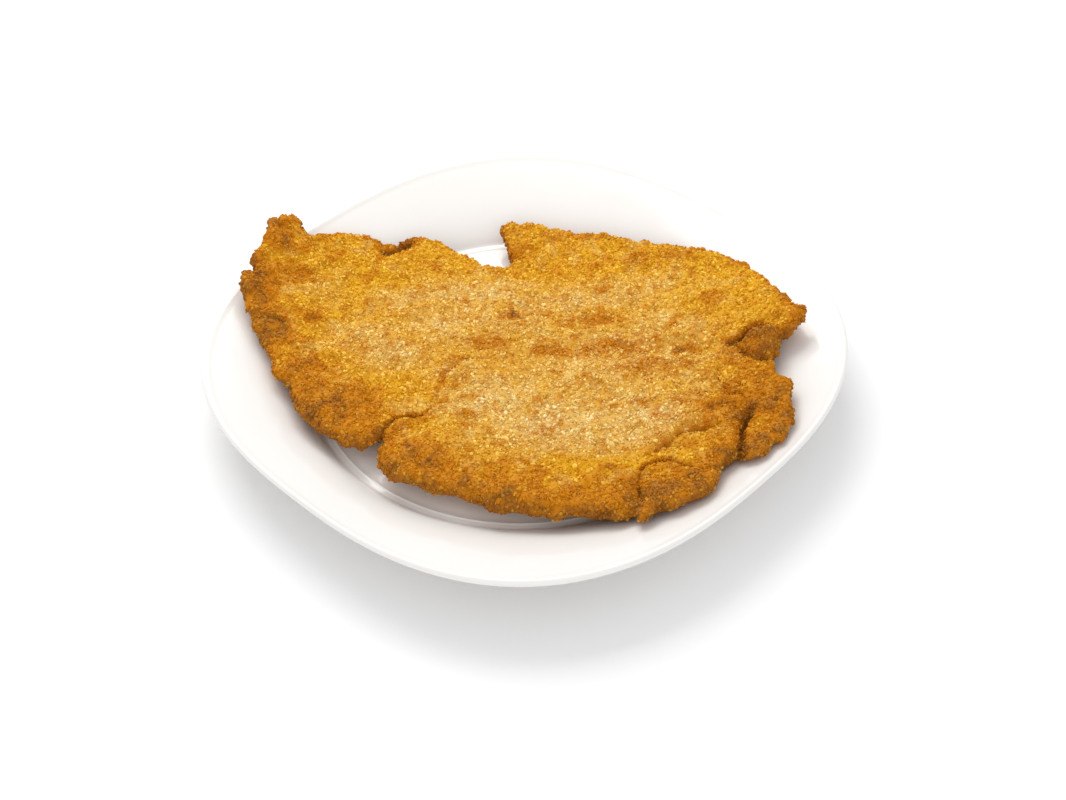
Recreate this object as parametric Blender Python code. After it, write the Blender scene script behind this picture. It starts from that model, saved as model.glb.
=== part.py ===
"""A breaded schnitzel on a rounded-square dinner plate, at real size, in metres, +Z up.

The plate stands on its foot ring at z = 0, centred on the origin, with its four soft corners on
the X and Y axes. The schnitzel is one flat piece of meat that hangs in the dish like a stiff
cloth: it bears on the slope of the rim at its tail, its cuff and its thumb, and bridges the well.
Plan positions are written in millimetres and scaled by MM.
"""

import math

import bmesh
import bpy
import numpy as np
from mathutils import Vector, noise
from mathutils.geometry import delaunay_2d_cdt

MM = 0.001

# Plate: driving dimensions
PLATE_HALF_WIDTH = 130 * MM  # from the centre to a flat side, which faces a diagonal
PLATE_SQUARENESS = 2.535  # exponent of the superellipse; 2 would be a circle
WELL_RADIUS = 94 * MM
FLOOR_HEIGHT = 5 * MM  # upper face of the well
RIM_HEIGHT = 26.5 * MM
COVE_POWER = 0.65  # below 1 the rim leaves the well steeply and then flattens out
COVE_START = 0.03  # keeps the slope finite where it leaves the well
WALL = 3.8 * MM  # thickness of the ceramic
RECESS_HEIGHT = 1.4 * MM  # underside of the well, inside the foot ring
FOOT_OUTER = 84 * MM
FOOT_INNER = 79 * MM
LIP_RADIUS = 1.6 * MM
PLATE_SEGMENTS = 72
SLOPE_SHARES = (0.03, 0.08, 0.15, 0.25, 0.38, 0.54, 0.72, 0.9)

# Schnitzel: driving dimensions
CENTRE_LIFT = 7 * MM  # underside of the meat at the middle of the plate
RIM_LIFT = 18 * MM  # how much higher the underside is at SAG_RADIUS
SAG_RADIUS = 125 * MM
SAG_POWER = 4
PLATE_GAP = 0.9 * MM  # least gap to the plate
BODY_THICKNESS = 9.2 * MM
THUMB_THICKNESS = 7.6 * MM
EDGE_ROUND = 5 * MM  # how far the edge's rounding reaches in
EDGE_THINNING = 0.78  # share of the full thickness just inside the rounding
CROWN_REACH = 28 * MM  # where the full thickness is reached
GRID = 2.6 * MM  # spacing of the points that the slabs are made of
VOXEL = 1.3 * MM
FACES_KEPT = 0.062  # share of the remeshed faces that stay

# Outline of the body in plan, anticlockwise from the tail's tip
TAIL = [(-110, 79), (-117, 72), (-120, 60), (-124, 49), (-122, 43)]
LEFT_EDGE = [(-127, 37), (-124, 27), (-120, 17), (-115, 7), (-109, -8), (-109, -14), (-102, -20)]
LEFT_CORNER = [(-99, -31), (-95, -38), (-86, -45), (-77, -51), (-69, -54)]
LEFT_NOTCH = [(-65, -52), (-60, -47), (-61, -56)]
FRONT_EDGE = [(-61, -63), (-55, -72), (-46, -77), (-33, -81), (-15, -90), (3, -96), (20, -99)]
CUFF_EDGE = [(35, -102), (40, -100), (43, -107), (52, -102), (60, -101), (72, -90), (83, -77)]
FLAP_EDGE = [(87, -72), (89, -63), (84, -58), (93, -51), (94, -45), (88, -40), (84, -30), (84, -18)]
TIP = [(89, -10), (100, -6), (109, -5), (117, -3), (123, 4), (119, 11), (116, 18)]
BACK_EDGE = [(113, 26), (107, 39), (94, 55), (80, 64), (69, 70), (54, 76), (37, 83), (18, 89)]
WING = [(5, 94), (-6, 97), (-12, 94), (-9, 85), (-6, 76), (-4, 69)]
BACK_NOTCH = [(-9, 64), (-18, 67), (-27, 71), (-36, 79), (-47, 81), (-62, 77)]
BACK_LEFT = [(-69, 79), (-76, 80), (-91, 75), (-99, 71), (-103, 78)]
BODY_OUTLINE = (
    TAIL + LEFT_EDGE + LEFT_CORNER + LEFT_NOTCH + FRONT_EDGE + CUFF_EDGE + FLAP_EDGE
    + TIP + BACK_EDGE + WING + BACK_NOTCH + BACK_LEFT
)  # fmt: skip

# The thumb lies under the body's right side, with a brown knob at its upper end
THUMB_OUTLINE = [
    (80, -8), (93, -2), (105, 1), (112, -6), (110, -14), (111, -26), (113, -40), (110, -51),
    (107, -60), (100, -69), (91, -78), (86, -76), (78, -60), (72, -34),
]  # fmt: skip
KNOB_CENTRE = (103, -7)
KNOB_SIZE = (7 * MM, 8.5 * MM, 6.5 * MM)  # half its length along X, Y and Z
KNOB_UNEVENNESS = 0.35

# Furrows in the upper face: points in plan, depth at the first and last point, half width
VALLEY = [(-63, -55), (-57, -48), (-50, -44), (-43, -45), (-39, -40), (-35, -29), (-26, -13),
          (-8, -5), (16, -7), (42, -1), (68, -1), (88, -9)]  # fmt: skip
CUFF_CREASE = [(37, -103), (42, -95), (44, -86), (47, -79), (54, -75), (61, -78), (68, -79)]
UPPER_FOLD = [(51, -72), (57, -64), (65, -58), (74, -55), (85, -55)]
BACK_PIT = [(-62, 69), (-56, 74), (-48, 76)]
FURROWS = (
    (VALLEY[:4], 5.0 * MM, 1.8 * MM, 2.6 * MM),
    (VALLEY[3:8], 1.8 * MM, 0.9 * MM, 4.5 * MM),
    (VALLEY[7:], 0.9 * MM, 2.6 * MM, 5.5 * MM),
    (CUFF_CREASE, 4.2 * MM, 1.6 * MM, 2.4 * MM),
    (UPPER_FOLD, 0.8 * MM, 2.4 * MM, 2.6 * MM),
    (BACK_PIT, 2.6 * MM, 2.6 * MM, 2.6 * MM),
)
FRONT_STEP = 1.3 * MM  # the front half stands this much higher than the back half
FRONT_STEP_WIDTH = 5 * MM

# Places where the meat curls up from the plain sag: plan position, reach, height
CURLS = (
    ((-112, 80), 30 * MM, 3.0 * MM),
    ((122, 10), 22 * MM, 4.0 * MM),
    ((94, -44), 16 * MM, 4.5 * MM),
    ((0, 90), 40 * MM, -2.0 * MM),
)
# Low swells of the upper face: size across, height
SWELLS = ((34 * MM, 1.5 * MM), (13 * MM, 0.8 * MM))


def clear_scene():
    for old in list(bpy.data.objects):
        bpy.data.objects.remove(old, do_unlink=True)


def material(name, colour, roughness, metallic=0.0):
    made = bpy.data.materials.new(name)
    made.use_nodes = True
    shader = made.node_tree.nodes["Principled BSDF"]
    shader.inputs["Base Color"].default_value = (*colour, 1.0)
    shader.inputs["Roughness"].default_value = roughness
    shader.inputs["Metallic"].default_value = metallic
    made.diffuse_color = (*colour, 1.0)
    return made


def mesh_object(name, points, faces, finish):
    mesh = bpy.data.meshes.new(name)
    mesh.from_pydata([tuple(p) for p in points], [], [tuple(f) for f in faces])
    mesh.materials.append(finish)
    made = bpy.data.objects.new(name, mesh)
    bpy.context.collection.objects.link(made)
    return made


# --- plate -----------------------------------------------------------------------------------


def rim_radius(angle):
    """Distance from the centre to the plate's outer edge, for one angle or an array of them."""
    turned = np.asarray(angle) - math.pi / 4
    n = PLATE_SQUARENESS
    return PLATE_HALF_WIDTH * (np.abs(np.cos(turned)) ** n + np.abs(np.sin(turned)) ** n) ** (-1 / n)


def dish_height(share):
    """Height of the dish's upper face; share runs from 0 at the well's edge to 1 at the rim."""
    start = COVE_START**COVE_POWER
    rise = (np.asarray(share) + COVE_START) ** COVE_POWER - start
    return FLOOR_HEIGHT + (RIM_HEIGHT - FLOOR_HEIGHT) * rise / ((1 + COVE_START) ** COVE_POWER - start)


def plate_surface(x, y):
    """Height of the plate's upper face at each point (x, y)."""
    well_to_rim = rim_radius(np.arctan2(y, x)) - WELL_RADIUS
    share = np.clip((np.hypot(x, y) - WELL_RADIUS) / well_to_rim, 0.0, 1.0)
    return dish_height(share)


def plate_profile():
    """Stations (radius, share, height) of the plate's closed section, from its middle over the
    rim to the middle underneath. A ring's radius is radius + share * (rim radius - well radius)."""
    stations = [(0.5 * WELL_RADIUS, 0.0, FLOOR_HEIGHT), (WELL_RADIUS, 0.0, FLOOR_HEIGHT)]
    stations += [(WELL_RADIUS, share, float(dish_height(share))) for share in SLOPE_SHARES]
    lip_middle = RIM_HEIGHT - LIP_RADIUS
    for step in range(5):
        turn = math.radians(90 - 45 * step)
        inset = LIP_RADIUS * (1 - math.cos(turn))
        stations.append((WELL_RADIUS - inset, 1.0, lip_middle + LIP_RADIUS * math.sin(turn)))
    for share in reversed(SLOPE_SHARES[1::2]):
        stations.append((WELL_RADIUS, share, float(dish_height(share)) - WALL))
    foot_top = RECESS_HEIGHT
    stations += [
        (FOOT_OUTER + foot_top, 0.0, foot_top),
        (FOOT_OUTER, 0.0, 0.0),
        (FOOT_INNER, 0.0, 0.0),
        (FOOT_INNER - foot_top, 0.0, foot_top),
    ]
    return stations


def make_plate(finish):
    angles = [2 * math.pi * i / PLATE_SEGMENTS for i in range(PLATE_SEGMENTS)]
    reach = rim_radius(angles) - WELL_RADIUS
    stations = plate_profile()
    points = [(0.0, 0.0, FLOOR_HEIGHT)]
    for radius, share, height in stations:
        for angle, gap in zip(angles, reach, strict=True):
            away = radius + share * gap
            points.append((away * math.cos(angle), away * math.sin(angle), height))
    points.append((0.0, 0.0, RECESS_HEIGHT))
    last_ring = 1 + (len(stations) - 1) * PLATE_SEGMENTS
    faces = []
    for i in range(PLATE_SEGMENTS):
        j = (i + 1) % PLATE_SEGMENTS
        faces.append((0, 1 + i, 1 + j))
        faces.append((last_ring + j, last_ring + i, len(points) - 1))
        for ring in range(len(stations) - 1):
            inner = 1 + ring * PLATE_SEGMENTS
            outer = inner + PLATE_SEGMENTS
            faces.append((inner + i, outer + i, outer + j, inner + j))
    plate = mesh_object("plate", points, faces, finish)
    plate.data.shade_smooth()
    plate.data.set_sharp_from_angle(angle=math.radians(35))
    return plate


# --- schnitzel -------------------------------------------------------------------------------


def smooth_closed(corners, step):
    """Points about step apart on the closed curve through the corners."""
    given = [Vector(c) * MM for c in corners]
    count = len(given)
    curve = []
    for i in range(count):
        before, here, there, after = (given[(i + k) % count] for k in (-1, 0, 1, 2))
        pieces = max(1, round((there - here).length / step))
        for k in range(pieces):
            t = k / pieces
            curve.append(
                0.5 * (2 * here + (there - before) * t
                       + (2 * before - 5 * here + 4 * there - after) * t**2
                       + (3 * here - before - 3 * there + after) * t**3)
            )  # fmt: skip
    return np.array([tuple(p) for p in curve])


def to_polyline(points, line, closed=False):
    """For each point: its distance to the line, how far along the line (0 to 1) the nearest
    place is, and on which side it lies (+1 left, -1 right)."""
    ends = np.vstack([line, line[:1]]) if closed else np.asarray(line)
    starts, spans = ends[:-1], np.diff(ends, axis=0)
    lengths = np.maximum(np.linalg.norm(spans, axis=1), 1e-9)
    away = points[:, None, :] - starts[None, :, :]
    t = np.clip((away * spans).sum(axis=2) / lengths**2, 0.0, 1.0)
    gaps = away - t[:, :, None] * spans[None, :, :]
    distances = np.linalg.norm(gaps, axis=2)
    nearest = distances.argmin(axis=1)
    rows = np.arange(len(points))
    before = np.concatenate([[0.0], np.cumsum(lengths)])[nearest]
    along = (before + t[rows, nearest] * lengths[nearest]) / lengths.sum()
    cross = spans[nearest, 0] * away[rows, nearest, 1] - spans[nearest, 1] * away[rows, nearest, 0]
    return distances[rows, nearest], along, np.sign(cross)


def inside(points, outline):
    """True for the points inside the closed outline."""
    x, y = points[:, 0][:, None], points[:, 1][:, None]
    ends = np.roll(outline, -1, axis=0)
    crosses = (outline[:, 1] > y) != (ends[:, 1] > y)
    rise = ends[:, 1] - outline[:, 1]
    rise = np.where(np.abs(rise) < 1e-12, 1e-12, rise)
    at = outline[:, 0] + (y - outline[:, 1]) * (ends[:, 0] - outline[:, 0]) / rise
    return (crosses & (x < at)).sum(axis=1) % 2 == 1


def ease(value):
    value = np.clip(value, 0.0, 1.0)
    return value * value * (3 - 2 * value)


def underside(points, curls):
    """Height of the meat's lower face: a stiff sag over the dish, curled up at some places."""
    x, y = points[:, 0], points[:, 1]
    height = CENTRE_LIFT + RIM_LIFT * (np.hypot(x, y) / SAG_RADIUS) ** SAG_POWER
    for centre, reach, lift in curls:
        away = np.hypot(x - centre[0] * MM, y - centre[1] * MM)
        height = height + lift * np.exp(-((away / reach) ** 2))
    return np.maximum(height, plate_surface(x, y) + PLATE_GAP)


def front_step(points):
    """Extra height of the front half, in front of the valley."""
    distance, _, side = to_polyline(points, np.array(VALLEY) * MM)
    return FRONT_STEP * ease(0.5 - 0.5 * side * distance / FRONT_STEP_WIDTH)


def furrow_depth(points):
    depth = np.zeros(len(points))
    for line, first, last, width in FURROWS:
        distance, along, _ = to_polyline(points, np.array(line) * MM)
        depth = np.maximum(depth, (first + (last - first) * along) * np.exp(-((distance / width) ** 2)))
    return depth


def swell_height(points):
    height = np.zeros(len(points))
    for size, rise in SWELLS:
        height += [rise * noise.noise(Vector((x / size, y / size, size / MM))) for x, y in points]
    return height


def slab(outline, thickness, curls, relief=None):
    """A closed slab over the outline, as (points, faces): rounded at its edge, its lower face on
    the sag of the meat, and relief(points) added to its upper face."""
    edge = smooth_closed(outline, GRID)
    low, high = edge.min(axis=0), edge.max(axis=0)
    columns = np.arange(low[0], high[0], GRID)
    rows = np.arange(low[1], high[1], GRID * math.sqrt(3) / 2)
    grid = np.array([(x + (k % 2) * GRID / 2, y) for k, y in enumerate(rows) for x in columns])
    grid = grid[inside(grid, edge)]
    grid = grid[to_polyline(grid, edge, closed=True)[0] > 0.6 * GRID]
    plan = np.vstack([edge, grid])
    loop = [(i, (i + 1) % len(edge)) for i in range(len(edge))]
    flat, _, faces, *_ = delaunay_2d_cdt([Vector(p) for p in plan], loop, [], 1, 1e-7)
    plan = np.array([tuple(p) for p in flat])

    depth_in = to_polyline(plan, edge, closed=True)[0]
    full = thickness * (EDGE_THINNING + (1 - EDGE_THINNING) * ease(depth_in / CROWN_REACH))
    shape = np.sqrt(np.clip(1 - (1 - np.minimum(depth_in / EDGE_ROUND, 1)) ** 2, 0, 1))
    middle = underside(plan, curls) + full / 2
    top = middle + full / 2 * shape
    if relief:
        top = np.maximum(top + relief(plan) * shape, middle - full / 4 * shape)
    bottom = middle - full / 2 * shape

    border = depth_in < 1e-6
    count = len(plan)
    lower = {i: (i if border[i] else count + i) for i in range(count)}
    points = [(*p, z) for p, z in zip(plan, top, strict=True)]
    points += [(*p, z) for p, z in zip(plan, bottom, strict=True)]
    sides = [tuple(f) for f in faces] + [tuple(lower[i] for i in reversed(f)) for f in faces]
    return points, sides


def body_relief(points):
    return front_step(points) + swell_height(points) - furrow_depth(points)


def knob():
    """The small round knob at the thumb's upper end, as (points, faces)."""
    ball = bmesh.new()
    bmesh.ops.create_icosphere(ball, subdivisions=3, radius=1.0)
    x, y = (c * MM for c in KNOB_CENTRE)
    centre = Vector((x, y, float(underside(np.array([[x, y]]), ())[0]) + KNOB_SIZE[2]))
    points = []
    for vertex in ball.verts:
        swell = 1 + KNOB_UNEVENNESS * noise.noise(1.6 * vertex.co)
        points.append(tuple(centre + swell * vertex.co * Vector(KNOB_SIZE)))
    faces = [tuple(v.index for v in f.verts) for f in ball.faces]
    ball.free()
    return points, faces


def make_schnitzel(finish):
    points, faces = [], []
    for some_points, some_faces in (
        slab(BODY_OUTLINE, BODY_THICKNESS, CURLS, body_relief),
        slab(THUMB_OUTLINE, THUMB_THICKNESS, (), swell_height),
        knob(),
    ):
        faces += [tuple(i + len(points) for i in face) for face in some_faces]
        points += some_points
    schnitzel = mesh_object("schnitzel", points, faces, finish)
    # The three slabs cross each other, and the remesh makes them one solid
    remesh = schnitzel.modifiers.new("One solid", "REMESH")
    remesh.mode = "VOXEL"
    remesh.voxel_size = VOXEL
    smooth = schnitzel.modifiers.new("Soften", "SMOOTH")
    smooth.factor = 0.5
    smooth.iterations = 3
    decimate = schnitzel.modifiers.new("Fewer faces", "DECIMATE")
    decimate.ratio = FACES_KEPT
    return schnitzel


def main():
    clear_scene()
    make_plate(material("plate_glaze", (0.86, 0.86, 0.85), 0.12))
    make_schnitzel(material("schnitzel_crust", (0.56, 0.27, 0.05), 0.7))


main()
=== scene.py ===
"""A breaded schnitzel on a white dinner plate: the finished looks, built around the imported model.

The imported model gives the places: the solid named schnitzel is remeshed into a crust, on which
four kinds of crumb are scattered, and the solid named plate is redrawn with a smooth glaze.
Plan positions are written in millimetres and scaled by MM. The studio is in metres.
"""

import math

import bmesh
import bpy
import numpy as np
from bpy.props import FloatProperty, FloatVectorProperty, IntProperty, PointerProperty
from bpy.types import Operator, Panel, PropertyGroup
from mathutils import Matrix, Vector, kdtree, noise


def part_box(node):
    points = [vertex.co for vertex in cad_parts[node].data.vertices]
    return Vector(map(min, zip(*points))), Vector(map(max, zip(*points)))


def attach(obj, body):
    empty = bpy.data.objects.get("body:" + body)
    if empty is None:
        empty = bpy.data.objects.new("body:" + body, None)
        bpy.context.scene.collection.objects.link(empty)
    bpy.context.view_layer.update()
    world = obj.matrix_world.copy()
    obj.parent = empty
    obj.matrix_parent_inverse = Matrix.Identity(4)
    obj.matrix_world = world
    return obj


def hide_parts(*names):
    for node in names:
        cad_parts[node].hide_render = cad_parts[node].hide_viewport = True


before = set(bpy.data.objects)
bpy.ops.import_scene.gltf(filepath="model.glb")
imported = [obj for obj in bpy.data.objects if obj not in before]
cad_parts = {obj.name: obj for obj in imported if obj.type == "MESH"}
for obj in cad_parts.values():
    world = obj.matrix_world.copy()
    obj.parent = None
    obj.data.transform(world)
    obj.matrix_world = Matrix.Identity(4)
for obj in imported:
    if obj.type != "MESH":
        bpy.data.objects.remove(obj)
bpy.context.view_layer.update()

bl_info = {
    "name": "Schnitzel on a plate",
    "version": (1, 0, 0),
    "blender": (4, 5, 0),
    "location": "3D View > Sidebar > Schnitzel",
    "description": "Builds the crust, its crumbs, the plate and the studio around the packed model",
    "category": "Object",
}

MM = 0.001
PLATE_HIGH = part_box("plate")[1]
PLATE_CORNER = PLATE_HIGH.x  # from the plate's middle to its rounded corner
RIM_HEIGHT = PLATE_HIGH.z
FOOD_BOTTOM, FOOD_TOP = (corner.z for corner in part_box("schnitzel"))

# Furrows in the crust: half width, how darkly painted shade fills it (with some toasting), then
# points in plan with the depth at each
FURROWS = (
    (0.7, 1.0, ((-63, -50, 1.4), (-60, -45, 2.6), (-58, -42, 2.6), (-54, -38, 2.2), (-49, -37, 2.4),
                (-45, -38, 2.0), (-41, -35, 1.0), (-39, -29, 0.5), (-37, -23, 0.3))),
    (0.8, 0.9, ((-83, -36, 0.6), (-86, -41, 1.8), (-88, -45, 1.6))),
    (0.8, 0.9, ((43, -96, 2.4), (44, -91, 2.6), (44, -83, 2.0), (45, -78, 1.8), (48, -75, 2.6),
                (53, -73, 2.8), (57, -74, 2.2), (62, -78, 1.4), (70, -82, 1.4), (76, -83, 1.6))),
    (0.9, 0.4, ((50, -70, 0.5), (53, -66, 1.0), (58, -62, 1.6), (64, -57, 2.2), (71, -54, 2.2),
                (79, -55, 1.4))),
    (1.3, 0.55, ((85, -14, 0.5), (83, -19, 0.8), (85, -26, 1.2), (86, -32, 1.6), (88, -37, 2.2))),
    (1.6, 1.1, ((93, -45, 3.6), (92, -51, 5.0), (88, -58, 5.0), (87, -66, 4.6), (86, -73, 3.8),
                (88, -78, 2.4))),
    (0.9, 1.0, ((86, -36, 1.2), (90, -37, 2.2), (93, -41, 3.0), (94, -47, 3.0))),
    (1.5, 1.1, ((88, -4, 0.8), (91, -2, 3.0), (94, -1, 3.6), (98, 2, 3.6), (103, 4, 3.4))),
    (1.2, 0.9, ((92, -4, 3.0), (95, -10, 2.8), (99, -14, 2.4), (105, -15, 2.2))),
    (2.0, 1.0, ((-64, 71, 1.6), (-59, 73, 3.0), (-53, 75, 3.0))),
    (0.8, 0.5, ((66, -30, 0.3), (72, -33, 1.2), (78, -33, 1.5), (83, -36, 1.2))),
    (0.8, 0.4, ((60, -12, 0.3), (67, -10, 0.9), (74, -12, 1.0), (80, -10, 0.6))),
    (0.7, 0.4, ((-100, 2, 1.2), (-94, 3, 1.4), (-88, 0, 0.8), (-80, -3, 0.3))),
    (1.2, 0.35, ((-40, -36, 0.3), (-38, -27, 0.9), (-35, -13, 1.2), (-27, -3, 1.2), (-16, -3, 0.9),
                 (-8, -3, 0.4))),
    (0.7, 0.5, ((-112, 18, 1.4), (-106, 17, 1.2), (-100, 17, 0.8))),
)

# Places where the edge bulges or draws in: plan centre, reach, then the move along X, Y and Z
BULGES = (
    ((-46, 77), 12, (0, 2.6, 2.2)),
    ((-29, 69), 9, (0, 1.6, 1.0)),
    ((-85, 74), 14, (0, 1.6, 0)),
    ((-19, 63), 9, (0, 1.4, 0)),
    ((12, 86), 12, (0, 1.8, 0)),
    ((36, 77), 16, (0, 1.5, 0)),
    ((64, 67), 12, (0, 2.5, 0)),
    ((94, 49), 12, (1.2, 2.6, 0)),
    ((108, 28), 8, (0.2, 1.2, 0)),
    ((-125, 36), 8, (1.0, 1.0, 0)),
    ((-119, 13), 8, (-1.6, 0, 0)),
    ((-84, -47), 8, (0, -1.3, 0)),
    ((-98, -30), 9, (1.2, 0.6, 0)),
    ((-68, -55), 7, (0, -1.6, 0)),
    ((-62, -64), 8, (-1.2, 0, 0)),
    ((-36, -82), 16, (0, -1.5, 0)),
    ((41, -104), 7, (0.5, -1.8, 0)),
    ((74, -93), 10, (1.6, -1.3, 0)),
    ((100, -67), 10, (1.6, -2.2, 0)),
    ((110, -54), 8, (0.6, -0.8, 0)),
    ((117, -4), 6, (0, -2.2, -0.5)),
    ((-7, 93), 7, (3.2, -0.6, 0)),
    ((-122, 60), 9, (1.3, 0, 0)),
    ((112, -18), 10, (-1.8, 0, 0)),
    ((84, -83), 8, (-3.2, 2.2, 0)),
    ((105, -6), 5, (0.6, 0, 4.4)),
    ((-127, 39), 6, (0.2, 2.4, 1.0)),
    ((-98, 68), 7, (0, 1.4, 1.0)),
    ((104, 36), 9, (1.4, 1.6, 0)),
    ((-52, 80), 8, (0, 1.4, 1.4)),
    ((108, -8), 5, (1.2, 0, 0)),
    ((-124, 46), 6, (-0.6, 1.2, 0)),
    ((114, -24), 8, (-3.0, -0.4, 0)),
    ((112, -46), 8, (-1.2, 0, 0)),
    ((37, -104), 5, (0, -1.8, 0)),
    ((12, -100), 12, (0, -1.0, 0)),
    ((82, 59), 9, (0.4, 1.2, 0)),
    ((108, -44), 12, (0, 0, 1.6)),
)

# Raised folds, given like the furrows, with the height at each point; for a fold the second number
# is how toasted it is
RIDGES = (
    (2.0, 0.2, ((42, -71, 0.3), (47, -68, 1.2), (52, -63, 1.8), (58, -58, 2.0), (64, -53, 2.0),
                (72, -49, 1.8), (79, -50, 1.2))),
    (2.0, 0.45, ((58, -33, 0.4), (69, -38, 1.2), (77, -42, 1.6), (84, -43, 2.2), (89, -45, 2.6))),
    (2.2, 0.35, ((79, -52, 1.6), (83, -57, 2.2), (83, -64, 2.2), (81, -71, 1.6))),
    (1.8, 0.45, ((46, -80, 0.4), (50, -78, 1.4), (56, -77, 1.6), (62, -82, 1.6), (70, -86, 1.0))),
    (2.4, 0.2, ((-46, 4, 0.2), (-40, 10, 0.9), (-30, 12, 0.9), (-20, 10, 0.5))),
    (2.0, 0.4, ((66, -18, 0.2), (73, -19, 0.9), (79, -22, 1.1), (82, -30, 0.9))),
    (2.4, 0.2, ((80, 4, 0.3), (86, 3, 1.2), (92, 3, 1.2), (98, 6, 0.6))),
    (3.0, 0.3, ((88, -20, 0.4), (93, -18, 1.0), (96, -24, 1.0), (95, -34, 0.6))),
    (1.6, 0.1, ((0, 88, 0.3), (20, 79, 0.8), (40, 69, 0.7), (60, 58, 0.3))),
    (1.6, 0.1, ((2, 79, 0.3), (18, 71, 0.7), (34, 63, 0.6), (50, 54, 0.2))),
    (1.6, 0.6, ((-68, 77, 1.0), (-61, 79, 3.2), (-53, 81, 3.6), (-46, 81, 2.2))),
    (2.4, 0.35, ((-108, 26, 0.4), (-101, 24, 1.2), (-94, 23, 1.3), (-88, 18, 0.5))),
    (2.4, 0.2, ((-95, -3, 0.3), (-86, 4, 1.0), (-75, 6, 0.9), (-64, 3, 0.3))),
    (2.4, 0.2, ((-88, -12, 0.3), (-78, -8, 0.9), (-68, -10, 0.7), (-58, -16, 0.2))),
    (3.0, 0.3, ((-80, -40, 0.5), (-73, -44, 1.0), (-68, -50, 0.8))),
    (2.4, 0.0, ((-37, -38, 0.5), (-35, -28, 1.3), (-32, -15, 1.5), (-25, -7, 1.5), (-17, -7, 1.2),
                (-9, -7, 0.5))),
    (2.0, 0.35, ((84, 0, 0.5), (89, -6, 1.4), (94, -9, 1.8), (98, -14, 1.0))),
)

# Patches of colour on the crust: plan centre, half width along X and Y, strength
PALE_PATCHES = (
    ((14, -44), (32, 18), 1.0),
    ((-12, -30), (22, 16), 0.9),
    ((46, -44), (24, 18), 1.0),
    ((44, -27), (22, 11), 0.6),
    ((58, 18), (14, 8), 0.7),
    ((24, 36), (50, 12), 0.6),
    ((-36, 20), (18, 12), 0.75),
    ((-22, 44), (30, 10), 0.85),
    ((-56, 38), (16, 8), 0.6),
    ((-90, 40), (10, 8), 0.4),
    ((-66, 12), (20, 12), 0.6),
    ((-22, 22), (40, 26), 0.55),
    ((34, -8), (46, 34), 0.6),
    ((-2, -52), (30, 14), 0.5),
    ((70, 8), (18, 14), 0.4),
    ((-56, 0), (18, 11), 0.85),
    ((-28, -11), (18, 9), 0.6),
    ((34, -60), (20, 9), 0.9),
    ((62, 42), (16, 8), 0.6),
    ((77, -8), (8, 8), 0.5),
    ((72, -48), (10, 6), 0.5),
)
YELLOW_PATCHES = (
    ((80, 38), (14, 20), 0.85),
    ((100, 22), (12, 10), 0.9),
    ((-70, 50), (22, 12), 1.0),
    ((-84, 34), (12, 9), 0.6),
    ((-32, 50), (12, 6), 0.4),
    ((8, 42), (12, 5), 0.8),
    ((45, 46), (24, 9), 0.5),
    ((-60, -12), (20, 12), 0.6),
    ((58, -34), (8, 6), 0.4),
    ((76, -66), (9, 6), 0.7),
    ((30, -70), (20, 8), 0.5),
)
# Toasted patches, partly painted shade: those around the flap and its cleft darken its lower edge
# and the gap beside it
BROWNING_AND_SHADE_PATCHES = (
    ((-113, 70), (13, 15), 0.6),
    ((-102, 66), (8, 10), 0.35),
    ((-120, 36), (10, 18), 0.85),
    ((-112, 12), (11, 14), 0.9),
    ((-98, -14), (13, 12), 0.65),
    ((-84, -34), (26, 18), 0.66),
    ((-66, -54), (16, 10), 0.6),
    ((-90, -20), (9, 6), 0.45),
    ((-95, 22), (6, 5), 0.5),
    ((-44, -70), (10, 7), 0.55),
    ((-26, -80), (34, 12), 0.42),
    ((14, -92), (40, 12), 0.42),
    ((28, -96), (9, 6), 0.45),
    ((66, -90), (22, 14), 0.62),
    ((47, -92), (5, 10), 0.7),
    ((86, -66), (9, 10), 0.5),
    ((60, -57), (20, 5), 0.15),
    ((103, -6), (9, 8), 1.0),
    ((92, -2), (5, 4), 0.8),
    ((90, -11), (8, 8), 0.3),
    ((89, -30), (8, 10), 0.4),
    ((104, -46), (13, 26), 0.72),
    ((92, -70), (9, 10), 0.8),
    ((86, -50), (6, 8), 0.6),
    ((50, -94), (20, 11), 0.95),
    ((-88, -44), (13, 9), 0.95),
    ((-50, -68), (24, 13), 0.7),
    ((-102, 47), (9, 6), 0.6),
    ((42, 3), (22, 7), 0.35),
    ((54, -14), (15, 7), 0.4),
    ((20, 80), (36, 9), 0.15),
    ((68, -62), (20, 8), 0.25),
    ((84, -44), (10, 7), 0.5),
    ((96, -28), (12, 12), 0.35),
    ((60, 60), (20, 5), 0.3),
    ((-17, 8), (8, 6), 0.6),
    ((13, 1), (11, 4), 0.6),
    ((-5, 26), (7, 4), 0.5),
    ((32, 21), (13, 5), 0.4),
    ((49, -36), (5, 4), 0.4),
    ((7, -51), (5, 4), 0.35),
    ((85, 28), (7, 5), 0.35),
    ((69, -2), (4, 3), 0.85),
    ((66, 14), (3, 3), 0.6),
    ((20, -88), (2, 2), 0.8),
    ((33, -76), (2, 2), 0.9),
    ((-57, 77), (9, 4), 1.0),
    ((0, 88), (10, 5), 0.3),
    ((-3, 74), (6, 10), 0.4),
)


# --- settings --------------------------------------------------------------------------------


def amount(name, description, default, **kind):
    return FloatProperty(name=name, description=description, default=default, **kind)


def length(name, description, default):
    return amount(name, description, default, unit="LENGTH", precision=5)


def number(name, description, default):
    return IntProperty(name=name, description=description, default=default)


def colour(name, description, default):
    return FloatVectorProperty(
        name=name, description=description, default=default, subtype="COLOR", min=0.0, max=1.0
    )


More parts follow.
